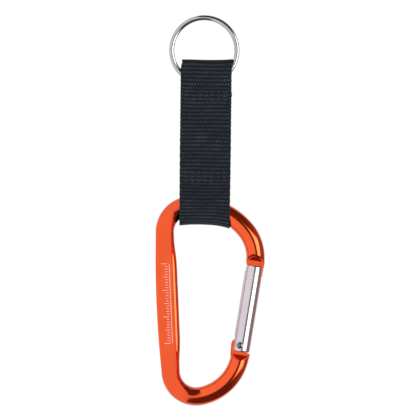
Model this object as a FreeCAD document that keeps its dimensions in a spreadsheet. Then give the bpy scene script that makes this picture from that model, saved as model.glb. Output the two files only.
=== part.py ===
import FreeCAD, Part
import math
import os

import Sketcher

# Carabiner keyring: a split ring, a folded strip of webbing and a small
# spring-gate carabiner, modelled hanging from the ring.
#
# Row frame, in millimetres: the origin is the centre of the ring's eye, +Z is
# up, +X runs across the strap, and -Y is the front. The carabiner is drawn in
# its own frame, whose origin is the centre of its top bar's bend, with the
# spine upright. The gate is drawn in a third frame, whose origin is the pivot,
# with the gate upright.

SIZES = {
    # split ring: flat wire wound twice, one coil behind the other
    "ring_outer": 13.25,
    "ring_radial": 1.9,
    "ring_coil": 1.3,
    "ring_gap": 0.04,
    "ring_step_angle": 26,
    "ring_round": 0.58,
    # strip of webbing, folded over the ring and round the bar
    "web_thick": 1.0,
    "web_half_width": 9.6,
    "web_shift": 0.8,
    "web_lean": 0.63,
    "web_top": 3.42,
    "ring_loop_half": 1.47,
    "ring_loop_round": 0.7,
    "ring_loop_side": 12.9,
    "ring_loop_close": 14.9,
    "tail_end": 20.6,
    "flex_upper_start": 21,
    "flex_upper_end": 27,
    "flex_lower_start": 35.5,
    "flex_lower_end": 41.5,
    "bar_loop_open": 50.6,
    "bar_loop_half": 3.62,
    "bar_loop_side": 56.4,
    "bar_loop_low": 63.1,
    # sewing thread
    "thread": 0.36,
    "thread_proud": 0.16,
    "stitch_pitch": 2.4,
    "stitch_row_pitch": 1.46,
    "ring_stitch_top": 15.7,
    "bar_stitch_top": 46.3,
    "stitch_count": 7,
    # carabiner frame: round rod bent in one plane, with a pressed flat spine
    "frame_x": -4.14,
    "frame_z": -83.95,
    "frame_lean": 2.4,
    "rod": 3.5,
    "bar_bend": 25.6,
    "bar_angle": 52.3,
    "spine_bend": 10.1,
    "nose_bend": 16.45,
    "low_bend": 9.63,
    "low_angle": 9.2,
    "belly_bend": 18.58,
    "spine_low": -36.9,
    "spine_start": -10,
    "spine_outer": 14.33,
    "spine_inner": 6.0,
    "spine_blend": 14,
    "spine_skin": 0.12,
    "spine_sink": 4.6,
    "spine_reach": 8.5,
    "flat_half": 2.5,
    "flat_edge": 7.9,
    "flat_corner": 23.6,
    "flat_low": -39.2,
    "flat_ramp": 40,
    # gate and its pivot
    "gate_tilt": 11.7,
    "gate_offset": 0.73,
    "gate_reach": 30.9,
    "gate_rod": 3.35,
    "gate_low": -2.3,
    "gate_top": 30.45,
    "slot_half": 1.4,
    "tongue_half": 1.3,
    "nose_tip": 26.4,
    "nose_ramp": 32.3,
    "nose_ramp_rise": 2.8,
    "hinge_ramp": -3.6,
    "hinge_ramp_rise": 2.3,
    "cam_round": 2.55,
    "cam_shift": 0.75,
    "slot_ceiling": 3.35,
    "slot_wall": 2.75,
    "wall_top": 28.2,
    # rivet, plunger and spring
    "rivet": 0.8,
    "rivet_clearance": 0.05,
    "rivet_seat": 2.95,
    "rivet_head": 1.25,
    "rivet_dome": 0.45,
    "bore": 1.25,
    "bore_end": 16,
    "plunger": 1.2,
    "plunger_rest": 3.46,
    "plunger_seat": 6.5,
    "plunger_peg": 0.6,
    "spring_mean": 0.92,
    "spring_wire": 0.16,
    "spring_turns": 10,
}

os.makedirs("parts", exist_ok=True)
doc = FreeCAD.newDocument("carabiner_keyring")
sheet = doc.addObject("Spreadsheet::Sheet", "Sizes")
for row, (name, value) in enumerate(SIZES.items(), start=1):
    sheet.set(f"A{row}", name)
    sheet.set(f"B{row}", str(value))
    sheet.setAlias(f"B{row}", name)
doc.recompute()


class Size:
    """A number together with the sheet expression that gives it."""

    def __init__(self, value, text=None):
        self.value = float(value)
        self.text = text or f"({value})"

    def __add__(self, other):
        other = as_size(other)
        return Size(self.value + other.value, f"({self.text} + {other.text})")

    def __sub__(self, other):
        other = as_size(other)
        return Size(self.value - other.value, f"({self.text} - {other.text})")

    def __mul__(self, other):
        other = as_size(other)
        return Size(self.value * other.value, f"({self.text} * {other.text})")

    def __truediv__(self, other):
        other = as_size(other)
        return Size(self.value / other.value, f"({self.text} / {other.text})")

    def __neg__(self):
        return Size(-self.value, f"(0 - {self.text})")

    def __rsub__(self, other):
        return as_size(other) - self

    __radd__ = __add__
    __rmul__ = __mul__


def as_size(item):
    return item if isinstance(item, Size) else Size(item)


def size(name):
    return Size(SIZES[name], f"Sizes.{name}")


def sin(angle):
    return Size(math.sin(math.radians(angle.value)), f"sin({angle.text})")


def cos(angle):
    return Size(math.cos(math.radians(angle.value)), f"cos({angle.text})")


def at(x, y):
    return as_size(x), as_size(y)


def beside(point, across, along, tilt):
    """The point reached from another by going across and along a tilted axis."""
    x = point[0] + across * cos(tilt) + along * sin(tilt)
    y = point[1] - across * sin(tilt) + along * cos(tilt)
    return x, y


# ---- sketching -------------------------------------------------------------

PLACED = []


def new_body(label):
    body = doc.addObject("PartDesign::Body", label)
    body.Label = label
    PLACED.append(body)
    return body


def new_sketch(body, name, role, offset=None):
    sketch = body.newObject("Sketcher::SketchObject", name)
    for feature in body.Origin.OriginFeatures:
        if feature.Role == role:
            plane = feature
    sketch.AttachmentSupport = [(plane, "")]
    sketch.MapMode = "FlatFace"
    if offset is not None:
        sketch.AttachmentOffset = offset
    return sketch


def bind(sketch, constraint, expression):
    index = sketch.addConstraint(constraint)
    sketch.setExpression(f"Constraints[{index}]", expression)


def pin_point(sketch, geometry, end, point):
    """Fixes one point of a curve, with both of its distances read from the sheet."""
    for kind, item in (("DistanceX", point[0]), ("DistanceY", point[1])):
        constraint = Sketcher.Constraint(kind, -1, 1, geometry, end, item.value)
        bind(sketch, constraint, item.text)


def arc_curve(start, end, radius, left):
    """The shorter arc between two points that turns left, or right, on its way."""
    a = FreeCAD.Vector(start[0].value, start[1].value, 0)
    b = FreeCAD.Vector(end[0].value, end[1].value, 0)
    chord = b - a
    across = FreeCAD.Vector(-chord.y, chord.x, 0).normalize()
    if not left:
        across = -across
    rise = math.sqrt(max(radius.value**2 - (chord.Length / 2) ** 2, 0))
    centre = (a + b) * 0.5 + across * rise
    first = math.atan2(a.y - centre.y, a.x - centre.x)
    last = math.atan2(b.y - centre.y, b.x - centre.x)
    if not left:
        first, last = last, first
    circle = Part.Circle(centre, FreeCAD.Vector(0, 0, 1), radius.value)
    return Part.ArcOfCircle(circle, first, last)


def draw(sketch, steps, closed=True):
    """Draws a chain of steps: a point ends a line, and (point, radius, side) ends an arc."""
    points = [step if len(step) == 2 else step[0] for step in steps]
    if closed:
        links = [(points[-1], steps[0])] + list(zip(points, steps[1:]))
        links = links[1:] + links[:1]
    else:
        links = list(zip(points, steps[1:]))
    drawn = []
    for start, step in links:
        if len(step) == 2:
            first = FreeCAD.Vector(start[0].value, start[1].value, 0)
            last = FreeCAD.Vector(step[0].value, step[1].value, 0)
            index = sketch.addGeometry(Part.LineSegment(first, last), False)
            drawn.append((index, 1, 2, step))
        else:
            end, radius, side = step
            radius = as_size(radius)
            curve = arc_curve(start, end, radius, side == "left")
            index = sketch.addGeometry(curve, False)
            bind(sketch, Sketcher.Constraint("Radius", index, radius.value), radius.text)
            ends = (1, 2) if side == "left" else (2, 1)
            drawn.append((index, *ends, end))
    for current, following in zip(drawn, drawn[1:]):
        sketch.addConstraint(
            Sketcher.Constraint("Coincident", current[0], current[2], following[0], following[1])
        )
    for index, _, end, step in drawn:
        pin_point(sketch, index, end, step if len(step) == 2 else step[0])
    if closed:
        last, first = drawn[-1], drawn[0]
        sketch.addConstraint(
            Sketcher.Constraint("Coincident", last[0], last[2], first[0], first[1])
        )
    else:
        pin_point(sketch, drawn[0][0], drawn[0][1], points[0])


def draw_circle(sketch, centre, radius):
    circle = Part.Circle(
        FreeCAD.Vector(centre[0].value, centre[1].value, 0),
        FreeCAD.Vector(0, 0, 1),
        radius.value,
    )
    index = sketch.addGeometry(circle, False)
    pin_point(sketch, index, 3, centre)
    bind(sketch, Sketcher.Constraint("Radius", index, radius.value), radius.text)


def pad(body, name, sketch, length, both_ways=False, kind="Pad", taper=None, back=False):
    """A pad or a pocket of stated length, from its sketch or to both sides of it."""
    feature = body.newObject(f"PartDesign::{kind}", name)
    feature.Profile = sketch
    feature.Length = length.value
    feature.setExpression("Length", length.text)
    feature.Midplane = both_ways
    feature.Reversed = back
    if taper is not None:
        feature.TaperAngle = taper.value
        feature.setExpression("TaperAngle", taper.text)
    body.Tip = feature
    return feature


def pipe(body, name, profile, spine):
    feature = body.newObject("PartDesign::AdditivePipe", name)
    feature.Profile = profile
    feature.Spine = spine
    body.Tip = feature
    return feature


def revolve(body, name, sketch, axis="V_Axis"):
    feature = body.newObject("PartDesign::Revolution", name)
    feature.Profile = sketch
    feature.ReferenceAxis = (sketch, [axis])
    feature.Angle = 360
    body.Tip = feature
    return feature


def shift(x=0, y=0, z=0, axis=None, angle=0):
    turn = FreeCAD.Rotation(FreeCAD.Vector(*(axis or (0, 0, 1))), angle)
    return FreeCAD.Placement(FreeCAD.Vector(x, y, z), turn)


def edges_where(shape, test):
    return [f"Edge{n}" for n, edge in enumerate(shape.Edges, start=1) if test(edge)]


def fillet(body, name, base, names, radius):
    feature = body.newObject("PartDesign::Fillet", name)
    feature.Base = (base, names)
    feature.Radius = radius
    body.Tip = feature
    return feature


# ---- frames ----------------------------------------------------------------

STRAP = shift(axis=(0, 1, 0), angle=SIZES["web_lean"])
FRAME = shift(
    SIZES["frame_x"], 0, SIZES["frame_z"], axis=(0, 1, 0), angle=-SIZES["frame_lean"]
)

tilt = size("gate_tilt")
rod = size("rod")
bar_end = at(
    size("bar_bend") * sin(size("bar_angle")),
    size("bar_bend") * cos(size("bar_angle")),
)
nose_centre = at(
    (size("bar_bend") - size("nose_bend")) * sin(size("bar_angle")),
    (size("bar_bend") - size("nose_bend")) * cos(size("bar_angle")),
)
nose_start = beside(nose_centre, size("nose_bend"), as_size(0), tilt)
pivot = beside(nose_start, -size("gate_offset"), -size("gate_reach"), tilt)


def by_gate(across, along):
    """A point in the carabiner's frame, given beside the pivot along the gate."""
    return beside(pivot, as_size(across), as_size(along), tilt)


GATE = FRAME.multiply(
    shift(pivot[0].value, 0, pivot[1].value, axis=(0, 1, 0), angle=SIZES["gate_tilt"])
)

# ---- split ring ------------------------------------------------------------
# The wire lies flat in its own half of the thickness for most of each turn and
# steps across to the other half over a short angle. Its two ends lie beside
# that step. A swept shell with a fixed upright keeps the wire's faces flat.


def ring_shape():
    read = {name: float(sheet.get(name)) for name in SIZES if name.startswith("ring_")}
    outer = read["ring_outer"]
    radial = read["ring_radial"]
    coil = read["ring_coil"]
    round_off = read["ring_round"]
    step = math.radians(read["ring_step_angle"])
    mean = outer - radial / 2
    aside = (coil + read["ring_gap"]) / 2
    low = -math.pi / 2
    start = low + step / 2
    turn = 2 * math.pi - step

    def on_wire(angle, y):
        return FreeCAD.Vector(mean * math.cos(angle), y, mean * math.sin(angle))

    def arc(y, first):
        middle = on_wire(first + turn / 2, y)
        return Part.Arc(on_wire(first, y), middle, on_wire(first + turn, y)).toShape()

    count = 12
    crossing = []
    for n in range(count + 1):
        share = n / count
        eased = share * share * share * (10 - 15 * share + 6 * share * share)
        crossing.append(on_wire(start + turn + step * share, aside * (2 * eased - 1)))
    step_curve = Part.BSplineCurve()
    along = FreeCAD.Vector(-math.sin(start), 0, math.cos(start))
    first_way = FreeCAD.Vector(-math.sin(start + turn), 0, math.cos(start + turn))
    step_curve.interpolate(
        Points=crossing, InitialTangent=first_way, FinalTangent=along
    )
    path = Part.Wire([arc(-aside, start), step_curve.toShape(), arc(aside, start)])

    half_radial = radial / 2
    half_coil = coil / 2
    outward = FreeCAD.Vector(math.cos(start), 0, math.sin(start))
    centre = on_wire(start, -aside)

    def corner(across, thick):
        return centre + outward * across + FreeCAD.Vector(0, thick, 0)

    section = []
    bend = round_off * (1 - math.sqrt(0.5))
    for sx, sy in ((1, 1), (-1, 1), (-1, -1), (1, -1)):
        inset_x = corner(sx * (half_radial - round_off), sy * half_coil)
        inset_y = corner(sx * half_radial, sy * (half_coil - round_off))
        middle = corner(sx * (half_radial - bend), sy * (half_coil - bend))
        first, last = (inset_y, inset_x) if sx * sy > 0 else (inset_x, inset_y)
        section.append((first, middle, last))
    edges = []
    for n, (first, middle, last) in enumerate(section):
        edges.append(Part.Arc(first, middle, last).toShape())
        edges.append(Part.LineSegment(last, section[(n + 1) % 4][0]).toShape())
    profile = Part.Wire(edges)
    sweep = Part.BRepOffsetAPI.MakePipeShell(path)
    sweep.setBiNormalMode(FreeCAD.Vector(0, 1, 0))
    sweep.add(profile)
    sweep.build()
    sweep.makeSolid()
    return sweep.shape()


ring = doc.addObject("Part::Feature", "split_ring")
ring.Label = "split_ring"
ring.Shape = ring_shape()
ring.Placement = shift()
PLACED.append(ring)

# ---- webbing ---------------------------------------------------------------
# One strip, closed into a long loop: it starts on the back below the ring,
# goes up over the ring, down the front, round the bar and up the back again,
# and both ends are sewn together below the ring. Each length is its own node,
# drawn as a section across the strap and padded over its width. In a section
# the first axis is depth (front is negative) and the second is height.

thick = size("web_thick")
width = size("web_half_width") * 2


def web_body(label):
    body = new_body(label)
    body.Placement = STRAP.multiply(shift(SIZES["web_shift"], 0, 0))
    return body


def web_section(body, name, outline, hollow=None):
    sketch = new_sketch(body, name, "YZ_Plane")
    draw(sketch, outline)
    if hollow:
        draw(sketch, hollow)
    return pad(body, f"{name}_pad", sketch, width, both_ways=True)


def ring_loop():
    body = web_body("webbing_ring_loop")
    half = size("ring_loop_half")
    wide = half + thick
    inner = size("ring_loop_round")
    outer = inner + thick
    top = -size("web_top")
    side = -size("ring_loop_side")
    close = -size("ring_loop_close")
    tail = -size("tail_end")
    low = -size("flex_upper_start")
    outline = [
        at(-thick, low),
        at(thick, low),
        at(thick, tail),
        at(thick * 2, tail),
        at(thick * 2, close),
        at(wide, side),
        at(wide, top - outer),
        (at(wide - outer, top), outer, "left"),
        at(outer - wide, top),
        (at(-wide, top - outer), outer, "left"),
        at(-wide, side),
        at(-thick, close - thick * 0.35),
    ]
    hollow = [
        at(0, close),
        at(thick, close),
        at(half, side),
        at(half, top - outer),
        (at(half - inner, top - thick), inner, "left"),
        at(inner - half, top - thick),
        (at(-half, top - outer), inner, "left"),
        at(-half, side),
    ]
    web_section(body, "ring_loop", outline, hollow)


def bar_loop():
    body = web_body("webbing_bar_loop")
    half = size("bar_loop_half")
    wide = half + thick
    top = -size("flex_lower_end")
    opened = -size("bar_loop_open")
    side = -size("bar_loop_side")
    low = -size("bar_loop_low")
    outline = [
        at(-thick, top),
        at(-thick, opened + thick * 0.5),
        at(-wide, side),
        at(-wide, low),
        (at(0, low - wide), wide, "left"),
        (at(wide, low), wide, "left"),
        at(wide, side),
        at(thick, opened + thick * 0.5),
        at(thick, top),
    ]
    hollow = [
        at(0, opened),
        at(-half, side),
        at(-half, low),
        (at(0, low - half), half, "left"),
        (at(half, low), half, "left"),
        at(half, side),
    ]
    web_section(body, "bar_loop", outline, hollow)
    return body


def flat_length(label, start, end):
    body = web_body(label)
    top = -size(start)
    low = -size(end)
    outline = [at(-thick, low), at(thick, low), at(thick, top), at(-thick, top)]
    web_section(body, "layers", outline)


ring_loop()
flat_length("webbing_flex_upper", "flex_upper_start", "flex_upper_end")
flat_length("webbing_middle", "flex_upper_end", "flex_lower_start")
flat_length("webbing_flex_lower", "flex_lower_start", "flex_lower_end")
bar_loop()

# ---- sewing ----------------------------------------------------------------
# Each row is one thread that runs as a square wave through the layers, with
# its floats standing a little proud of both faces.


def ribbon(points, half):
    """The outline of a band that follows a chain of square corners."""
    ways = []
    for first, last in zip(points, points[1:]):
        x = last[0].value - first[0].value
        y = last[1].value - first[1].value
        ways.append(((x > 0) - (x < 0), 0) if abs(x) > abs(y) else (0, (y > 0) - (y < 0)))
    left = []
    right = []
    for n, point in enumerate(points):
        before = ways[max(n - 1, 0)]
        after = ways[min(n, len(ways) - 1)]
        normals = {(-before[1], before[0]), (-after[1], after[0])}
        x = sum(normal[0] for normal in normals)
        y = sum(normal[1] for normal in normals)
        left.append(at(point[0] + half * x, point[1] + half * y))
        right.append(at(point[0] - half * x, point[1] - half * y))
    return left + right[::-1]


def stitching(label, first_row, rows, back):
    body = new_body(label)
    body.Placement = STRAP.multiply(shift(SIZES["web_shift"], 0, 0))
    thread = size("thread")
    front_line = thread / 2 - thick - size("thread_proud")
    back_line = back + size("thread_proud") - thread / 2
    half_pitch = size("stitch_pitch") / 2
    count = SIZES["stitch_count"]
    sketch = new_sketch(body, "row", "XY_Plane", shift(0, 0, -SIZES[first_row]))
    sketch.setExpression("AttachmentOffset.Base.z", f"0 - Sizes.{first_row}")
    line = [at(half_pitch * -count, front_line)]
    for n in range(count):
        middle = half_pitch * (2 * n + 1 - count)
        line.append(at(middle, front_line))
        line.append(at(middle, back_line))
        end = half_pitch * (2 * n + 2 - count)
        line.append(at(end, back_line))
        if n < count - 1:
            line.append(at(end, front_line))
    draw(sketch, ribbon(line, thread / 2))
    row = pad(body, "row_pad", sketch, thread, both_ways=True)
    pattern = body.newObject("PartDesign::LinearPattern", "rows")
    pattern.Originals = [row]
    for feature in body.Origin.OriginFeatures:
        if feature.Role == "Z_Axis":
            pattern.Direction = (feature, [""])
    pattern.Reversed = True
    pattern.Length = SIZES["stitch_row_pitch"] * (rows - 1)
    pattern.setExpression("Length", f"Sizes.stitch_row_pitch * {rows - 1}")
    pattern.Occurrences = rows
    body.Tip = pattern


stitching("ring_stitching", "ring_stitch_top", 3, thick * 2)
stitching("bar_stitching", "bar_stitch_top", 3, thick)

# ---- carabiner frame -------------------------------------------------------


def across_gate():
    """A sketch offset on the YZ plane that puts the pivot at its origin."""
    return shift(0, pivot[1].value, pivot[0].value, axis=(1, 0, 0), angle=tilt.value)


def along_gate():
    """A sketch offset on the XZ plane that puts the pivot at its origin."""
    return shift(pivot[0].value, pivot[1].value, 0, axis=(0, 0, 1), angle=-tilt.value)


def carabiner_frame():
    body = new_body("carabiner_frame")
    body.Placement = FRAME
    spine_bend = size("spine_bend")
    spine_top = size("bar_bend") - spine_bend
    spine_low = size("spine_low")
    start = at(-spine_bend, size("spine_start"))

    # the pressed spine: it is wider than the rod, and its outer side bulges a little
    slab = new_sketch(body, "spine_outline", "XZ_Plane")
    inner = -size("spine_inner")
    blend = size("spine_blend")
    high = spine_top - blend
    low = spine_low + blend
    side = rod - size("spine_skin")
    rod_outer = -spine_bend - side
    rod_inner = side - spine_bend
    chord = spine_top - spine_low
    bulge = size("spine_outer") + rod_outer
    bulge_round = chord * chord / (bulge * 8) + bulge / 2
    sink = size("spine_sink")
    reach = size("spine_reach")
    sink_round = (sink * sink + reach * reach) / (sink * 2)

    def ease(start, end, first):
        """Two equal arcs that leave start and reach end along the spine."""
        across = end[0] - start[0]
        along = end[1] - start[1]
        run = Size(abs(across.value), across.text if across.value > 0 else f"-({across.text})")
        radius = (run * run + along * along) / (run * 4)
        middle = at((start[0] + end[0]) / 2, (start[1] + end[1]) / 2)
        second = "left" if first == "right" else "right"
        return [(middle, radius, first), (end, radius, second)]

    upper_in = at(rod_inner, spine_top)
    upper_out = at(rod_outer, spine_top)
    lower_in = at(rod_inner, spine_low)
    lower_out = at(rod_outer, spine_low)
    draw(
        slab,
        [
            at(inner, high),
            *ease(at(inner, high), upper_in, "left"),
            at(rod_inner - 0.6, spine_top + 4),
            at(rod_outer + sink, spine_top + reach),
            (upper_out, sink_round, "left"),
            (lower_out, bulge_round, "left"),
            (at(rod_outer + sink, spine_low - reach), sink_round, "left"),
            at(rod_inner - 0.6, spine_low - 4),
            lower_in,
            *ease(lower_in, at(inner, low), "right"),
        ],
    )
    spine = pad(body, "spine", slab, size("flat_half") * 2, both_ways=True)
    doc.recompute()

    def face_edge(edge):
        return edge.BoundBox.YLength < 0.01 and edge.BoundBox.ZLength > 1

    def inner_side(edge):
        return face_edge(edge) and edge.BoundBox.XMin > -7.5

    def outer_side(edge):
        return face_edge(edge) and edge.BoundBox.XMax < -10.5

    names = edges_where(spine.Shape, inner_side)
    rounded = fillet(body, "spine_inner_round", spine, names, 2.1)
    doc.recompute()
    names = edges_where(rounded.Shape, outer_side)
    rounded = fillet(body, "spine_outer_round", rounded, names, 0.7)
    doc.recompute()

    # the rod above the spine, over the bar and down to the nose
    upper = new_sketch(body, "upper_line", "XZ_Plane")
    draw(
        upper,
        [
            start,
            at(-spine_bend, spine_top),
            (at(0, size("bar_bend")), spine_bend, "right"),
            (bar_end, size("bar_bend"), "right"),
            (nose_start, size("nose_bend"), "right"),
            by_gate(size("gate_offset"), size("gate_top") + 0.4),
        ],
        closed=False,
    )
    level = shift(0, 0, SIZES["spine_start"])
    ring_one = new_sketch(body, "upper_section", "XY_Plane", level)
    draw_circle(ring_one, at(-spine_bend, 0), rod)
    pipe(body, "upper_rod", ring_one, upper)

    # the rod below the spine, round the belly and up to the hinge
    lower = new_sketch(body, "lower_line", "XZ_Plane")
    low_centre = at(size("low_bend") - spine_bend, spine_low)
    low_angle = size("low_angle")
    low_end = at(
        low_centre[0] + size("low_bend") * sin(low_angle),
        low_centre[1] - size("low_bend") * cos(low_angle),
    )
    belly_end = at(
        low_end[0] - size("belly_bend") * sin(low_angle) + size("belly_bend") * cos(tilt),
        low_end[1] + size("belly_bend") * cos(low_angle) - size("belly_bend") * sin(tilt),
    )
    draw(
        lower,
        [
            start,
            at(-spine_bend, spine_low),
            (low_end, size("low_bend"), "left"),
            (belly_end, size("belly_bend"), "left"),
            by_gate(size("gate_offset"), -3.0),
        ],
        closed=False,
    )
    ring_two = new_sketch(body, "lower_section", "XY_Plane", level)
    draw_circle(ring_two, at(-spine_bend, 0), rod)
    pipe(body, "lower_rod", ring_two, lower)

    # the press's straight edge leaves both faces of the spine flat
    edge = -size("flat_edge")
    corner = size("flat_corner")
    flat_low = size("flat_low")
    for side, back in ((1, True), (-1, False)):
        offset = shift(0, 0, side * SIZES["flat_half"])
        face = new_sketch(body, f"flat_{'front' if side > 0 else 'back'}", "XZ_Plane", offset)
        face.setExpression("AttachmentOffset.Base.z", f"{side} * Sizes.flat_half")
        draw(
            face,
            [
                at(edge, flat_low),
                at(edge, corner - 10),
                at(edge + 0.8, corner),
                at(edge + 2.9, corner + 1.3),
                at(edge + 7.5, corner + 3),
                at(edge + 8.5, corner + 12),
                at(edge - 12, corner + 12),
                at(edge - 12, flat_low - 12),
                at(edge + 1.2, flat_low - 13),
                at(edge + 3.25, flat_low - 5.9),
            ],
        )
        name = f"{face.Name}_cut"
        pad(body, name, face, as_size(2.5), kind="Pocket", taper=size("flat_ramp"), back=back)

    # the nose and the hinge end are thinned to tongues, with sloping shoulders
    thin = size("tongue_half")
    deep = size("rod") - thin + 0.3
    for name, sense, reach in (("nose", 1, 24), ("hinge", -1, 3)):
        sketch = new_sketch(body, f"{name}_thin", "YZ_Plane", across_gate())
        ramp = size(f"{name}_ramp")
        ramp_end = ramp + size(f"{name}_ramp_rise") * sense
        for side in (1, -1):
            draw(
                sketch,
                [
                    at(thin * side, reach),
                    at(thin * side, ramp),
                    at((thin + deep) * side, ramp_end),
                    at((thin + 4) * side, ramp_end),
                    at((thin + 4) * side, reach),
                ],
            )
        pad(body, f"{name}_thin_cut", sketch, as_size(12), both_ways=True, kind="Pocket")

    # the nose's tongue, which the gate's slot closes over
    line = size("gate_offset")
    nose = new_sketch(body, "nose_outline", "XZ_Plane", along_gate())
    tip = size("nose_tip")
    draw(
        nose,
        [
            at(line - 2.28, tip + 0.5),
            (at(line - 1.78, tip), 0.5, "left"),
            at(line + 2.85, tip),
            (at(line + 3.35, tip + 0.5), 0.5, "left"),
            at(line + 3.5, size("nose_ramp") + 0.2),
            at(line - 3.46, size("nose_ramp") + 0.2),
            at(line - 2.67, size("wall_top")),
        ],
    )
    pad(body, "nose_tongue", nose, thin * 2, both_ways=True)

    # the hinge's tongue: the gate's plunger runs on its round top
    cam = size("cam_round")
    cam_x = -size("cam_shift")
    hinge = new_sketch(body, "hinge_outline", "XZ_Plane", along_gate())
    draw(
        hinge,
        [
            at(-3.02, -3.6),
            at(-2.8, -4.6),
            at(4.25, -4.6),
            at(4.32, -2.75),
            at(2.3, -2.3),
            at(cam_x + cam, 0),
            (at(cam_x, cam), cam, "left"),
            (at(cam_x - cam, 0), cam, "left"),
        ],
    )
    pad(body, "hinge_tongue", hinge, thin * 2, both_ways=True)
    eye = new_sketch(body, "hinge_eye", "XZ_Plane", along_gate())
    draw_circle(eye, at(0, 0), size("rivet") + size("rivet_clearance"))
    pad(body, "hinge_bore", eye, as_size(10), both_ways=True, kind="Pocket")


carabiner_frame()

# ---- gate ------------------------------------------------------------------
# A round rod with a slot at each end: the lower one straddles the hinge's
# tongue, and the upper one closes over the nose. A blind bore up from the
# lower slot holds the spring and its plunger.


def gate():
    body = new_body("gate")
    body.Placement = GATE
    line = size("gate_offset")
    start = new_sketch(body, "rod_section", "XY_Plane", shift(0, 0, SIZES["gate_low"]))
    start.setExpression("AttachmentOffset.Base.z", "Sizes.gate_low")
    draw_circle(start, at(line, 0), size("gate_rod"))
    length = size("gate_top") - size("gate_low")
    base = pad(body, "rod", start, length)
    doc.recompute()

    def end_edge(edge):
        return edge.BoundBox.ZLength < 0.01

    names = edges_where(base.Shape, end_edge)
    fillet(body, "rod_ends", base, names, 0.55)

    slot = size("slot_half") * 2
    low = new_sketch(body, "lower_slot", "XZ_Plane")
    wall = size("slot_wall")
    ceiling = size("slot_ceiling")
    draw(
        low,
        [
            at(-5, -4),
            at(wall, -4),
            at(wall, ceiling - 1.4),
            (at(wall - 1.4, ceiling), 1.4, "left"),
            at(-5, ceiling),
        ],
    )
    pad(body, "lower_slot_cut", low, slot, both_ways=True, kind="Pocket")

    high = new_sketch(body, "upper_slot", "XZ_Plane")
    top = size("gate_top")
    wall_top = size("wall_top")
    tip = size("nose_tip") - 0.45
    draw(
        high,
        [
            at(-5, wall_top),
            at(line - 2.74, wall_top),
            at(line - 2.27, tip + 0.6),
            (at(line - 1.67, tip), 0.62, "left"),
            at(7, tip),
            at(7, top + 2),
            at(-5, top + 2),
        ],
    )
    pad(body, "upper_slot_cut", high, slot, both_ways=True, kind="Pocket")

    bore = new_sketch(body, "spring_bore", "XY_Plane")
    draw_circle(bore, at(line, 0), size("bore"))
    pad(body, "spring_bore_cut", bore, size("bore_end"), kind="Pocket", back=True)

    eye = new_sketch(body, "rivet_hole", "XZ_Plane")
    draw_circle(eye, at(0, 0), size("rivet"))
    pad(body, "rivet_hole_cut", eye, as_size(10), both_ways=True, kind="Pocket")

    for side, back in ((1, True), (-1, False)):
        offset = shift(0, 0, side * SIZES["rivet_seat"])
        name = f"rivet_seat_{'front' if side > 0 else 'back'}"
        seat = new_sketch(body, name, "XZ_Plane", offset)
        seat.setExpression("AttachmentOffset.Base.z", f"{side} * Sizes.rivet_seat")
        draw_circle(seat, at(0, 0), size("rivet_head") + 0.12)
        pad(body, f"{name}_cut", seat, as_size(2), kind="Pocket", back=back)


def gate_rivet():
    body = new_body("gate_rivet")
    body.Placement = GATE
    sketch = new_sketch(body, "half_section", "XY_Plane")
    seat = size("rivet_seat")
    head = size("rivet_head")
    dome = size("rivet_dome")
    rim = 0.12
    rise = dome - rim
    dome_round = head * head / (rise * 2) + rise / 2
    draw(
        sketch,
        [
            at(0, -(seat + dome)),
            (at(head, -(seat + rim)), dome_round, "left"),
            at(head, -seat),
            at(size("rivet"), -seat),
            at(size("rivet"), seat),
            at(head, seat),
            at(head, seat + rim),
            (at(0, seat + dome), dome_round, "left"),
        ],
    )
    revolve(body, "turned", sketch)


def gate_plunger():
    body = new_body("gate_plunger")
    body.Placement = GATE.multiply(shift(SIZES["gate_offset"], 0, 0))
    sketch = new_sketch(body, "half_section", "XZ_Plane")
    radius = size("plunger")
    rest = size("plunger_rest")
    seat = size("plunger_seat")
    peg = size("plunger_peg")
    draw(
        sketch,
        [
            at(0, rest - radius),
            (at(radius, rest), radius, "left"),
            at(radius, seat),
            at(peg, seat),
            at(peg, seat + 1.2),
            at(0, seat + 1.2),
        ],
    )
    revolve(body, "turned", sketch)


def gate_spring():
    body = new_body("gate_spring")
    body.Placement = GATE.multiply(shift(SIZES["gate_offset"], 0, 0))
    wire = size("spring_wire")
    low = size("plunger_seat") + wire + 0.02
    high = size("bore_end") - wire - 0.02
    sketch = new_sketch(body, "wire_section", "XZ_Plane")
    draw_circle(sketch, at(size("spring_mean"), low), wire)
    helix = body.newObject("PartDesign::AdditiveHelix", "coils")
    helix.Profile = sketch
    helix.ReferenceAxis = (sketch, ["V_Axis"])
    helix.Mode = "height-turns-angle"
    rise = high - low
    helix.Height = rise.value
    helix.setExpression("Height", rise.text)
    helix.Turns = SIZES["spring_turns"]
    helix.setExpression("Turns", "Sizes.spring_turns")
    helix.Angle = 0
    body.Tip = helix


gate()
gate_rivet()
gate_plunger()
gate_spring()

# ---- check and export ------------------------------------------------------

doc.recompute()
for item in doc.Objects:
    if "Invalid" in item.State or "Error" in item.State:
        raise RuntimeError(f"{item.Label}: {item.State}")
for item in PLACED:
    shape = item.Shape
    if shape.isNull() or not shape.isValid():
        raise RuntimeError(f"{item.Label} has no valid shape")
    box = shape.BoundBox
    print(
        f"{item.Label:22s} solids {len(shape.Solids)} volume {shape.Volume:9.2f}"
        f"  x {box.XMin:7.2f} {box.XMax:7.2f}  y {box.YMin:6.2f} {box.YMax:6.2f}"
        f"  z {box.ZMin:8.2f} {box.ZMax:8.2f}"
    )
    shape.exportStep(f"parts/{item.Label}.step")
place = GATE.Base
print(f"pivot {place.x:.3f} {place.y:.3f} {place.z:.3f}")
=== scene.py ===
"""The carabiner keyring's looks: webbing, thread, metals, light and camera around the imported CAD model."""

import math
import random

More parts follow.
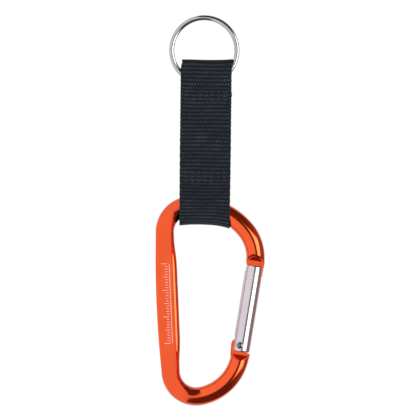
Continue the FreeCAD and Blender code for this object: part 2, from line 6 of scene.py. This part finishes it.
import bpy
import bmesh
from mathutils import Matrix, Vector


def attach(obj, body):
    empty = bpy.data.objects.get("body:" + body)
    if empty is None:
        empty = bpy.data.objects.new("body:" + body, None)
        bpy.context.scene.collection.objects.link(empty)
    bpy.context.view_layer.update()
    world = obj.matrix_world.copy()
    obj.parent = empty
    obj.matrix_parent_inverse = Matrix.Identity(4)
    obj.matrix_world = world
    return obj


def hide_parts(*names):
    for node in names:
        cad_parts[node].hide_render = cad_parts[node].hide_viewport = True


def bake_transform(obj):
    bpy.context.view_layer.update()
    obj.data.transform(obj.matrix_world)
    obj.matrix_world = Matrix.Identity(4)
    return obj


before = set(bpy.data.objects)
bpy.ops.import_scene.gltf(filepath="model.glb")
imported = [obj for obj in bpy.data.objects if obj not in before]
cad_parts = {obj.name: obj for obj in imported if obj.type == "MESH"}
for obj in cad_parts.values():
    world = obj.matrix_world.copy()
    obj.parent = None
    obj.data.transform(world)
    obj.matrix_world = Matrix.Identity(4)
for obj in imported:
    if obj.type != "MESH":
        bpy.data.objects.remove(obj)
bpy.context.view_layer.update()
MM = 0.001

# ---- sizes, in millimetres -------------------------------------------------
WEB_HALF_WIDTH = 9.6
WEB_SHIFT = 0.8
WEB_LEAN = math.radians(0.63)
WEB_THICK = 0.94
RIB_PITCH = 1.46
BUMP_PITCH = 1.06
BACK_SHIFT = 0.4
FACE_RELIEF = 0.24
EDGE_RELIEF = 0.16
FINE = 5
STEP = RIB_PITCH / 6
MID_Z = -31.0
RING_LOOP_TOP = -3.92
BAR_FOLD_BASE = -67.72

# ---- node helpers ----------------------------------------------------------


class Nodes:
    """A node tree with short calls for the nodes that the materials share."""

    def __init__(self, tree):
        self.tree = tree

    def add(self, kind, **settings):
        node = self.tree.nodes.new(kind)
        for name, value in settings.items():
            setattr(node, name, value)
        return node

    def put(self, socket, value):
        if isinstance(value, bpy.types.NodeSocket):
            self.tree.links.new(value, socket)
        else:
            socket.default_value = value

    def math(self, operation, *values, clamp=False):
        node = self.add("ShaderNodeMath", operation=operation, use_clamp=clamp)
        for socket, value in zip(node.inputs, values):
            self.put(socket, value)
        return node.outputs[0]

    def rise(self, value, low, high, out_low=0.0, out_high=1.0):
        node = self.add("ShaderNodeMapRange", interpolation_type="SMOOTHSTEP")
        for socket, given in zip(node.inputs, (value, low, high, out_low, out_high)):
            self.put(socket, given)
        return node.outputs[0]

    def mix(self, factor, first, second):
        node = self.add("ShaderNodeMix", data_type="RGBA")
        self.put(node.inputs[0], factor)
        self.put(node.inputs[6], first)
        self.put(node.inputs[7], second)
        return node.outputs[2]

    def noise(self, vector, scale, detail=2.0, rough=0.5):
        node = self.add("ShaderNodeTexNoise")
        self.put(node.inputs["Vector"], vector)
        self.put(node.inputs["Scale"], scale)
        self.put(node.inputs["Detail"], detail)
        self.put(node.inputs["Roughness"], rough)
        return node.outputs[0]

    def place(self, scale=(1, 1, 1), turn=(0, 0, 0), shift=(0, 0, 0)):
        coordinates = self.add("ShaderNodeTexCoord")
        node = self.add("ShaderNodeMapping")
        self.put(node.inputs["Vector"], coordinates.outputs["Object"])
        self.put(node.inputs["Scale"], scale)
        self.put(node.inputs["Rotation"], turn)
        self.put(node.inputs["Location"], shift)
        return node.outputs[0]

    def bump(self, height, strength, distance):
        node = self.add("ShaderNodeBump")
        self.put(node.inputs["Height"], height)
        self.put(node.inputs["Strength"], strength)
        self.put(node.inputs["Distance"], distance)
        return node.outputs[0]


def new_material(name):
    material = bpy.data.materials.new(name)
    material.use_nodes = True
    tree = material.node_tree
    shader = tree.nodes["Principled BSDF"]
    return material, Nodes(tree), shader


def anodised(name, color, dark, rough, coat, turn):
    """Anodised aluminium: fine drawn lines, a few scuffs, and a slightly uneven dye."""
    material, nodes, shader = new_material(name)
    cloudy = nodes.noise(nodes.place(), 90, 3)
    base = nodes.mix(nodes.rise(cloudy, 0.35, 0.7, 0.0, 0.5), (*color, 1), (*dark, 1))
    lines = nodes.noise(nodes.place(scale=(1, 1, 0.04), turn=turn), 2600, 2)
    scuffs = nodes.noise(nodes.place(scale=(1, 1, 0.25), turn=(0.3, 0.2, 0.9)), 420, 4, 0.7)
    wear = nodes.rise(scuffs, 0.6, 0.78)
    nodes.put(shader.inputs["Base Color"], base)
    shader.inputs["Metallic"].default_value = 1.0
    roughness = nodes.math("ADD", nodes.rise(lines, 0.3, 0.7, rough * 0.85, rough * 1.15),
                           nodes.math("MULTIPLY", wear, 0.07))
    nodes.put(shader.inputs["Roughness"], roughness)
    shader.inputs["Coat Weight"].default_value = coat
    shader.inputs["Coat Roughness"].default_value = 0.1
    mottled = nodes.math("ADD", nodes.math("MULTIPLY", lines, 0.35), nodes.noise(nodes.place(), 1300, 3))
    nodes.put(shader.inputs["Normal"], nodes.bump(mottled, 0.1, 0.00004))
    return material


def steel(name, color, rough, grain):
    """Plated or drawn steel with hairline marks."""
    material, nodes, shader = new_material(name)
    hairs = nodes.noise(nodes.place(scale=(1, grain, 1)), 1800, 3)
    smudge = nodes.noise(nodes.place(), 140, 2)
    shade = [channel * 0.82 for channel in color]
    base = nodes.mix(nodes.rise(smudge, 0.35, 0.75, 0.0, 0.6), (*color, 1), (*shade, 1))
    nodes.put(shader.inputs["Base Color"], base)
    shader.inputs["Metallic"].default_value = 1.0
    nodes.put(shader.inputs["Roughness"], nodes.rise(hairs, 0.3, 0.7, rough * 0.8, rough * 1.3))
    nodes.put(shader.inputs["Normal"], nodes.bump(hairs, 0.06, 0.00003))
    return material


def cloth(name, dark, light, high):
    """Nylon yarn with painted light: the crowns of the weave, held in the Crown attribute, are painted
    lighter as if they catch more light, the hollows get painted shade, and some crowns get painted highlight
    spots.
    """
    material, nodes, shader = new_material(name)
    crown = nodes.add("ShaderNodeAttribute", attribute_name="Crown").outputs["Fac"]
    fibres = nodes.noise(nodes.place(scale=(1, 1, 0.35)), 5200, 2)
    patches = nodes.noise(nodes.place(), 260, 3)
    # painted highlight on the crowns and painted shade in the hollows of the weave, from the dark colour to
    # the painted crown highlight colour
    painted_crown_light = nodes.mix(nodes.rise(crown, 0.25, 0.95), (*dark, 1), (*light, 1))
    # painted highlight spots, in the high colour, on some of the crowns
    painted_highlight_spots = nodes.math("MULTIPLY", nodes.rise(patches, 0.5, 0.72), nodes.rise(crown, 0.55, 1.0))
    bright = nodes.mix(nodes.math("MULTIPLY", painted_highlight_spots, 0.75), painted_crown_light, (*high, 1))
    base = nodes.mix(nodes.rise(fibres, 0.3, 0.75, 0.0, 0.35), bright, (*dark, 1))
    nodes.put(shader.inputs["Base Color"], base)
    nodes.put(shader.inputs["Roughness"], nodes.rise(fibres, 0.3, 0.7, 0.62, 0.85))
    shader.inputs["Specular IOR Level"].default_value = 0.16
    shader.inputs["Sheen Weight"].default_value = 0.04
    shader.inputs["Sheen Roughness"].default_value = 0.5
    nodes.put(shader.inputs["Normal"], nodes.bump(fibres, 0.35, 0.00008))
    return material


orange = anodised("orange_anodised", (0.94, 0.096, 0.004), (0.86, 0.078, 0.003), 0.12, 0.75, (0, 0.04, 0))
satin = anodised("clear_anodised", (0.69, 0.665, 0.7), (0.6, 0.575, 0.61), 0.2, 0.2, (0, 0.16, 0))
nickel = steel("nickel", (0.5, 0.53, 0.54), 0.07, 1.0)
dark_steel = steel("rivet_steel", (0.2, 0.2, 0.23), 0.24, 1.0)
pin_steel = steel("pin_steel", (0.55, 0.55, 0.56), 0.2, 0.1)
spring_steel = steel("spring_steel", (0.5, 0.5, 0.5), 0.25, 1.0)
# after each name: the dark colour of the hollows and fibres, a painted crown highlight colour, and a painted
# highlight spot colour
yarn = cloth("webbing", (0.005, 0.0088, 0.0132), (0.03, 0.041, 0.054), (0.075, 0.09, 0.11))
sewing = cloth("thread", (0.014, 0.017, 0.024), (0.075, 0.085, 0.105), (0.17, 0.18, 0.2))
marking, mark_nodes, mark_shader = new_material("laser_mark")
grain = mark_nodes.noise(mark_nodes.place(), 3500, 2)
mark_nodes.put(mark_shader.inputs["Base Color"],
               mark_nodes.mix(grain, (0.72, 0.6, 0.56, 1), (0.9, 0.84, 0.82, 1)))
mark_shader.inputs["Roughness"].default_value = 0.6

NODE_MATERIALS = {
    "carabiner_frame": orange,
    "gate": satin,
    "gate_rivet": dark_steel,
    "gate_plunger": pin_steel,
    "gate_spring": spring_steel,
}
for node, material in NODE_MATERIALS.items():
    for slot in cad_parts[node].material_slots:
        slot.material = material


def close_tube(mesh, rows):
    """Joins rows of points round a tube into faces, and closes both of its ends."""
    count = len(rows[0])
    for low, high in zip(rows, rows[1:]):
        for n in range(count):
            m = (n + 1) % count
            mesh.faces.new((low[n], low[m], high[m], high[n]))
    mesh.faces.new(rows[0][::-1])
    mesh.faces.new(rows[-1])


# ---- split ring ------------------------------------------------------------
RING_OUTER = 13.25
RING_RADIAL = 1.9
RING_COIL = 1.3
RING_SQUARE = 2.05
RING_STEP = math.radians(26)
RING_SIDES = 20
RING_STEPS = 240


def ring_coil():
    """Two turns of rounded flat wire that step across each other behind the webbing's fold."""
    mesh = bmesh.new()
    middle = RING_OUTER - RING_RADIAL / 2
    rows = []
    bottom = -math.pi / 2
    for n in range(2 * RING_STEPS + 1):
        turned = 2 * math.pi * n / RING_STEPS
        angle = bottom + turned
        away = turned - 2 * math.pi
        side = max(-1.0, min(1.0, away / (RING_STEP / 2)))
        side = math.sin(side * math.pi / 2)
        row = []
        for m in range(RING_SIDES):
            around = 2 * math.pi * m / RING_SIDES
            cos, sin = math.cos(around), math.sin(around)
            size = (abs(cos) ** RING_SQUARE + abs(sin) ** RING_SQUARE) ** (-1 / RING_SQUARE)
            radius = middle + cos * size * RING_RADIAL / 2
            y = side * RING_COIL / 2 * 1.01 + sin * size * RING_COIL / 2
            row.append(mesh.verts.new(Vector((radius * math.cos(angle), y, radius * math.sin(angle))) * MM))
        rows.append(row)
    close_tube(mesh, rows)
    return mesh


# ---- webbing ---------------------------------------------------------------


def rounded_path(points, radii, step):
    """A line of evenly spaced (y, z) points along straight runs joined by arcs."""
    line = [Vector(points[0])]
    for before, corner, after, radius in zip(points, points[1:], points[2:], radii):
        before, corner, after = Vector(before), Vector(corner), Vector(after)
        first = (before - corner).normalized()
        second = (after - corner).normalized()
        half = first.angle(second) / 2
        reach = radius / math.tan(half)
        middle = corner + (first + second).normalized() * (radius / math.sin(half))
        start = corner + first * reach - middle
        turn = (corner + second * reach - middle).angle_signed(start)
        for n in range(17):
            angle = turn * n / 16
            line.append(middle + Vector((
                start.x * math.cos(angle) - start.y * math.sin(angle),
                start.x * math.sin(angle) + start.y * math.cos(angle),
            )))
    line.append(Vector(points[-1]))
    lengths = [0.0]
    for first, second in zip(line, line[1:]):
        lengths.append(lengths[-1] + (second - first).length)
    count = max(2, round(lengths[-1] / step))
    path = []
    part = 0
    for n in range(count + 1):
        along = lengths[-1] * n / count
        while part < len(lengths) - 2 and lengths[part + 1] < along:
            part += 1
        span = lengths[part + 1] - lengths[part]
        share = 0 if span < 1e-9 else (along - lengths[part]) / span
        path.append((along, line[part].lerp(line[part + 1], share)))
    return path


def to_row(x, y, z):
    """A point in the strap's own axes, in millimetres, to the row's frame in metres."""
    x += WEB_SHIFT
    cos, sin = math.cos(WEB_LEAN), math.sin(WEB_LEAN)
    return Vector((x * cos + z * sin, y, z * cos - x * sin)) * MM


def weave(along, x):
    """Height of the weave from 0 to 1: cross ribs, broken into bumps that step over each other."""
    rib = along / RIB_PITCH
    row = math.floor(rib)
    wander = 0.045 * math.sin(x * 0.35 + row * 0.23) + 0.025 * math.sin(x * 1.3 + row * 1.9)
    across = abs(math.sin(math.pi * (rib + wander)))
    bump = 0.5 + 0.5 * math.cos(2 * math.pi * (x / BUMP_PITCH + 0.5 * (row % 2) + 0.1 * math.sin(row * 2.1)))
    strength = 0.62 + 0.25 * math.sin(row * 0.9 + x * 0.21) * math.sin(x * 0.43 + row * 0.27)
    return across ** 0.9 * (1 - strength * (1 - bump) * 0.8)


def warp_fold(x, y, z):
    """The cloth's own unevenness: a flared corner at the ring, and a fold under the bar
    that is arched and pinched thinner towards its ends."""
    if z > -9:
        corner = math.exp(-((z + 4.4) / 1.5) ** 2)
        right = max(0.0, (x - 4.5) / 5.1)
        left = max(0.0, (-x - 6.5) / 3.1)
        x += corner * (0.6 * right ** 2 + 0.5 * left ** 2)
        z += corner * (0.42 * right ** 2 - 0.14 * math.exp(-((x - 0.5) / 4.5) ** 2))
    if z < -57:
        gap = z - BAR_FOLD_BASE
        if gap < 1.6:
            squeezed = min(1.0, max(0.0, (abs(x) - 6.5) / 2)) * min(1.0, max(0.0, (3.6 - abs(y)) / 1.8))
            z = BAR_FOLD_BASE + gap * (1 - 0.55 * squeezed)
        low = -65.75 - 0.22 * (x / WEB_HALF_WIDTH) - 1.15 * max(0, x / WEB_HALF_WIDTH) ** 2.4
        low -= 0.6 * max(0, -x / WEB_HALF_WIDTH) ** 2
        z = -57 + (z + 57) * (low + 57) / (BAR_FOLD_BASE + 57)
    if x > 8:
        x += 0.22 * math.exp(-((z + 16.6) / 0.8) ** 2)
    x -= 0.12 * max(0, (-z - 40) / 25) * (1 if x > 0 else -1)
    return x, y, z


def section():
    """Points round the strip's cross-section: (x, offset, outward x, outward offset, face)."""
    edge = WEB_THICK / 2
    inner = WEB_HALF_WIDTH - edge
    columns = round(2 * inner / (BUMP_PITCH / FINE))
    points = []
    for n in range(columns + 1):
        points.append((-inner + 2 * inner * n / columns, edge, 0, 1, 1))
    for n in (1, 2, 3):
        angle = math.pi * n / 4
        points.append((inner + edge * math.sin(angle), edge * math.cos(angle),
                       math.sin(angle), math.cos(angle), 0))
    for n in range(columns + 1):
        points.append((inner - 2 * inner * n / columns, -edge, 0, -1, -1))
    for n in (1, 2, 3):
        angle = math.pi * n / 4
        points.append((-inner - edge * math.sin(angle), -edge * math.cos(angle),
                       -math.sin(angle), -math.cos(angle), 0))
    return points


def strip(mesh, crowns, path, start, outward=1, press=()):
    """Adds one closed woven strip along a path.

    press lists (low z, high z, depth) for the stretches that the thread pulls in.
    """
    outline = section()
    rows = []
    for n, (along, centre) in enumerate(path):
        before = path[max(n - 1, 0)][1]
        after = path[min(n + 1, len(path) - 1)][1]
        tangent = (after - before).normalized()
        normal = Vector((-tangent.y, tangent.x)) * outward
        row = []
        drawn = 1 - 0.75 * max(0.0, 1 - abs(centre.y - RING_LOOP_TOP) / 0.9)
        for x, offset, out_x, out_n, face in outline:
            height = weave(along + start, x + (0 if face >= 0 else BACK_SHIFT))
            lift = (height - 0.72) * FACE_RELIEF * drawn
            if face == 0:
                lift = (weave(along + start, 0) - 0.5) * EDGE_RELIEF
            place_y = centre.x + normal.x * (offset + out_n * lift)
            place_z = centre.y + normal.y * (offset + out_n * lift)
            place_x = x + out_x * lift
            for low, high, deep in press:
                inside = 1 - abs((place_z - (low + high) / 2) / ((high - low) / 2))
                if inside > 0 and face != 0:
                    place_y -= normal.x * out_n * deep * min(1, inside * 3)
            vertex = mesh.verts.new(to_row(*warp_fold(place_x, place_y, place_z)))
            crowns.append(height)
            row.append(vertex)
        rows.append(row)
    close_tube(mesh, rows)


def finish_mesh(name, mesh, crowns, material, smooth=True):
    bmesh.ops.recalc_face_normals(mesh, faces=mesh.faces)
    data = bpy.data.meshes.new(name)
    mesh.to_mesh(data)
    mesh.free()
    if crowns:
        attribute = data.attributes.new("Crown", "FLOAT", "POINT")
        attribute.data.foreach_set("value", crowns)
    for polygon in data.polygons:
        polygon.use_smooth = smooth
    data.materials.append(material)
    piece = bpy.data.objects.new(name, data)
    bpy.context.scene.collection.objects.link(piece)
    return piece


ring = finish_mesh("ring_coil", ring_coil(), None, nickel)
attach(ring, "ring")
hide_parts("split_ring")

upper = bmesh.new()
upper_crowns = []
over_ring = rounded_path(
    [(1.5, -20.6), (1.5, -15.0), (1.97, -12.9), (1.97, RING_LOOP_TOP), (-1.97, RING_LOOP_TOP),
     (-1.97, -12.9), (-0.5, -15.2), (-0.5, MID_Z)],
    [2.0, 2.0, 1.2, 1.2, 2.0, 2.0], STEP)
strip(upper, upper_crowns, over_ring, 0, press=[(-19.6, -14.4, 0.07)])
inner_layer = rounded_path([(0.5, -15.1), (0.5, -22), (0.5, MID_Z)], [40.0], STEP)
strip(upper, upper_crowns, inner_layer, 0.3)
webbing_upper = finish_mesh("webbing_upper", upper, upper_crowns, yarn)

lower = bmesh.new()
lower_crowns = []
round_bar = rounded_path(
    [(-0.5, MID_Z), (-0.5, -50.4), (-4.12, -56.6), (-4.12, BAR_FOLD_BASE + 0.5),
     (4.12, BAR_FOLD_BASE + 0.5), (4.12, -56.6), (0.5, -50.4), (0.5, MID_Z)],
    [6.0, 6.0, 4.05, 4.05, 6.0, 6.0], STEP)
over_length = over_ring[-1][0]
strip(lower, lower_crowns, round_bar, over_length, outward=-1, press=[(-50.2, -46.4, 0.07)])
webbing_lower = finish_mesh("webbing_lower", lower, lower_crowns, yarn)

# ---- sewing thread ---------------------------------------------------------
STITCHES = 7
STITCH_PITCH = 2.4
STITCH_LENGTH = 1.75
THREAD_RADIUS = 0.17


def thread_stitch(mesh, crowns, centre, out, tilt):
    """One stitch: a twisted thread that rises from the cloth and dives back into it."""
    steps = 10
    sides = 8
    radius = THREAD_RADIUS
    rows = []
    for n in range(steps + 1):
        share = n / steps
        x = (share - 0.5) * STITCH_LENGTH
        arch = math.sin(math.pi * share) ** 0.5
        y = centre[1] + out * (arch * radius * 1.1 - radius * 0.9)
        z = centre[2] + tilt * x
        row = []
        for m in range(sides):
            angle = 2 * math.pi * m / sides
            swell = 1 + 0.16 * math.sin(2 * angle + share * 13)
            vertex = mesh.verts.new(to_row(*warp_fold(
                centre[0] + x, y + radius * swell * math.cos(angle), z + radius * swell * math.sin(angle))))
            # painted highlight on the top of each stitch and painted shade where it dives into the cloth,
            # held in Crown for the thread material
            crowns.append(0.35 + 0.65 * arch * (0.6 + 0.4 * math.sin(2 * angle + share * 13)))
            row.append(vertex)
        rows.append(row)
    close_tube(mesh, rows)


def stitch_rows(name, node, body, rows, front, back, seed):
    dice = random.Random(seed)
    mesh = bmesh.new()
    crowns = []
    for z in rows:
        for n in range(STITCHES):
            x = (n - STITCHES // 2) * STITCH_PITCH
            for out, y in ((-1, front), (1, back)):
                shift = 0.0 if out < 0 else STITCH_PITCH / 4
                thread_stitch(mesh, crowns, (x + shift + dice.uniform(-0.1, 0.1), y,
                                             z + dice.uniform(-0.06, 0.06)),
                              out, dice.uniform(-0.05, 0.05))
    piece = finish_mesh(name, mesh, crowns, sewing)
    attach(piece, body)
    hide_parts(node)
    return piece


stitch_rows("stitches_upper", "ring_stitching", "strap_upper", [-15.7, -17.16, -18.62], -1.0, 2.0, 3)
stitch_rows("stitches_lower", "bar_stitching", "strap_lower", [-46.3, -47.76, -49.22], -1.0, 1.0, 5)

# ---- gate spring ------------------------------------------------------------
SPRING_MEAN = 0.92
SPRING_WIRE = 0.16
SPRING_LOW = 6.68
SPRING_HIGH = 15.82
SPRING_TURNS = 10
SPRING_SIDES = 8
SPRING_STEPS = 20
SPRING_LINE = 0.73
PIVOT = (0.013379, 0, -0.111091)
GATE_UP = (0.1616, 0, 0.98686)


def gate_point(u, y, w):
    """A point in the gate's own axes, in millimetres, to the row's frame in metres."""
    across = Vector((GATE_UP[2], 0, -GATE_UP[0]))
    place = Vector(PIVOT) / MM + Vector(GATE_UP) * w + across * (u + SPRING_LINE)
    return (place + Vector((0, y, 0))) * MM


def spring_coil():
    """A coil of round wire along the gate's bore."""
    mesh = bmesh.new()
    rows = []
    steps = SPRING_TURNS * SPRING_STEPS
    for n in range(steps + 1):
        angle = 2 * math.pi * SPRING_TURNS * n / steps
        middle = SPRING_LOW + (SPRING_HIGH - SPRING_LOW) * n / steps
        row = []
        for m in range(SPRING_SIDES):
            around = 2 * math.pi * m / SPRING_SIDES
            radius = SPRING_MEAN + SPRING_WIRE * math.cos(around)
            row.append(mesh.verts.new(gate_point(radius * math.cos(angle), radius * math.sin(angle),
                                                 middle + SPRING_WIRE * math.sin(around))))
        rows.append(row)
    close_tube(mesh, rows)
    return mesh


spring = finish_mesh("spring_coil", spring_coil(), None, spring_steel)
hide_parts("gate_spring")
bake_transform(spring)

# ---- the marked scale on the spine -----------------------------------------
FRAME_LEAN = math.radians(2.4)
FRAME_X = -4.14
FRAME_Z = -83.95
MARK_BACK = -2.48
MARK_FRONT = -2.515
SCALE_LOW = -26.0
SCALE_LENGTH = 30


def frame_point(u, y, w):
    """A point in the carabiner's own axes, in millimetres, to the row's frame in metres."""
    cos, sin = math.cos(FRAME_LEAN), math.sin(FRAME_LEAN)
    return Vector((FRAME_X + u * cos - w * sin, y, FRAME_Z + u * sin + w * cos)) * MM


def mark(mesh, low_u, high_u, low_w, high_w):
    """A thin raised mark with a closed rim, on the front of the pressed spine."""
    corners = ((low_u, low_w), (high_u, low_w), (high_u, high_w), (low_u, high_w))
    back = [mesh.verts.new(frame_point(u, MARK_BACK, w)) for u, w in corners]
    front = [mesh.verts.new(frame_point(u, MARK_FRONT, w)) for u, w in corners]
    mesh.faces.new(front)
    mesh.faces.new(back[::-1])
    for n in range(4):
        m = (n + 1) % 4
        mesh.faces.new((front[n], back[n], back[m], front[m]))


scale = bmesh.new()
mark(scale, -9.0, -8.82, SCALE_LOW, SCALE_LOW + SCALE_LENGTH)
for n in range(SCALE_LENGTH + 1):
    w = SCALE_LOW + n
    reach = 2.3 if n % 10 == 0 else 1.7 if n % 5 == 0 else 1.1
    mark(scale, -9.6 - reach, -9.6, w - 0.09, w + 0.09)
spine_scale = finish_mesh("spine_scale", scale, None, marking, smooth=False)
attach(spine_scale, "carabiner")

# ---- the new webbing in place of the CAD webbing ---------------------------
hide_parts("webbing_ring_loop", "webbing_flex_upper", "webbing_middle")
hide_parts("webbing_bar_loop", "webbing_flex_lower")
to_row(0, 0, -20.4)
to_row(0, 0, -27.6)
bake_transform(webbing_upper)
to_row(0, 0, -34.9)
to_row(0, 0, -42.1)
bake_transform(webbing_lower)

# ---- floor, light and camera -----------------------------------------------
FLOOR_Z = -0.5
floor_mesh = bmesh.new()
bmesh.ops.create_circle(floor_mesh, cap_ends=True, segments=96, radius=3.0)
for vertex in floor_mesh.verts:
    vertex.co.z = FLOOR_Z
floor_material, _, floor_shader = new_material("pale_floor")
floor_shader.inputs["Base Color"].default_value = (0.9, 0.9, 0.9, 1)
floor_shader.inputs["Roughness"].default_value = 0.9
floor_shader.inputs["Emission Color"].default_value = (1, 1, 1, 1)
floor_shader.inputs["Emission Strength"].default_value = 0.45
floor = finish_mesh("floor", floor_mesh, None, floor_material, smooth=False)
floor.visible_glossy = False

SOFTBOX = (1.02, 1.0, 1.02, 1)
ROOM = (0.8, 0.78, 0.79, 1)
STRIP_LIGHT = (3.8, 3.8, 3.85, 1)
SHADE = (0.125, 0.075, 0.07, 1)
WARM_SHADE = (0.34, 0.2, 0.19, 1)
world = bpy.data.worlds.new("studio")
bpy.context.scene.world = world
world.use_nodes = True
tree = world.node_tree
tree.nodes.clear()
sky = Nodes(tree)
output = sky.add("ShaderNodeOutputWorld")
direction = sky.add("ShaderNodeTexCoord").outputs["Generated"]
split = sky.add("ShaderNodeSeparateXYZ")
sky.put(split.inputs[0], direction)
x, y, z = split.outputs
# a wide softbox on the left that reaches past the camera
upper_way = sky.math("ADD", sky.math("MULTIPLY", x, -0.966), sky.math("MULTIPLY", z, -0.259))
lower_way = sky.math("ADD", sky.math("MULTIPLY", x, -0.94), sky.math("MULTIPLY", z, 0.342))
left = sky.math("MULTIPLY", sky.rise(upper_way, -0.1, -0.02), sky.rise(lower_way, -0.1, -0.02))
# the pale room behind the object
behind_way = sky.math("SUBTRACT", y, sky.math("MULTIPLY", sky.math("MAXIMUM", x, 0.0), 0.75))
behind = sky.rise(behind_way, -0.1, 0.2)
# a strip softbox on the right
strip_box = sky.math("MULTIPLY", sky.rise(x, 0.36, 0.52), sky.rise(x, 0.92, 0.84))
strip_box = sky.math("MULTIPLY", strip_box, sky.rise(sky.math("ABSOLUTE", z), 0.42, 0.3))
strip_box = sky.math("MULTIPLY", strip_box, sky.rise(y, 0.05, -0.1))
dark_tone = sky.mix(sky.rise(x, 0.6, 0.95), SHADE, WARM_SHADE)
tone = sky.mix(left, dark_tone, SOFTBOX)
tone = sky.mix(behind, tone, ROOM)
tone = sky.mix(strip_box, tone, STRIP_LIGHT)
studio = sky.add("ShaderNodeBackground")
sky.put(studio.inputs["Color"], tone)
studio.inputs["Strength"].default_value = 1.0
white = sky.add("ShaderNodeBackground")
white.inputs["Color"].default_value = (1, 1, 1, 1)
white.inputs["Strength"].default_value = 1.02
seen = sky.add("ShaderNodeLightPath").outputs["Is Camera Ray"]
choice = sky.add("ShaderNodeMixShader")
sky.put(choice.inputs[0], seen)
sky.put(choice.inputs[1], studio.outputs[0])
sky.put(choice.inputs[2], white.outputs[0])
sky.put(output.inputs["Surface"], choice.outputs[0])

VIEW_WIDTH = 0.15834
DISTANCE = 1.2
VIEW_CENTRE = Vector((0.00215, 0, -0.06017))
camera_data = bpy.data.cameras.new("camera")
camera_data.sensor_width = 36
camera_data.lens = 36 * DISTANCE / VIEW_WIDTH
camera = bpy.data.objects.new("camera", camera_data)
camera.location = VIEW_CENTRE - Vector((0, DISTANCE, 0))
camera.rotation_euler = (math.pi / 2, 0, 0)
bpy.context.scene.collection.objects.link(camera)
bpy.context.scene.camera = camera
bpy.context.scene.view_settings.view_transform = "Standard"
bpy.context.scene.view_settings.look = "None"
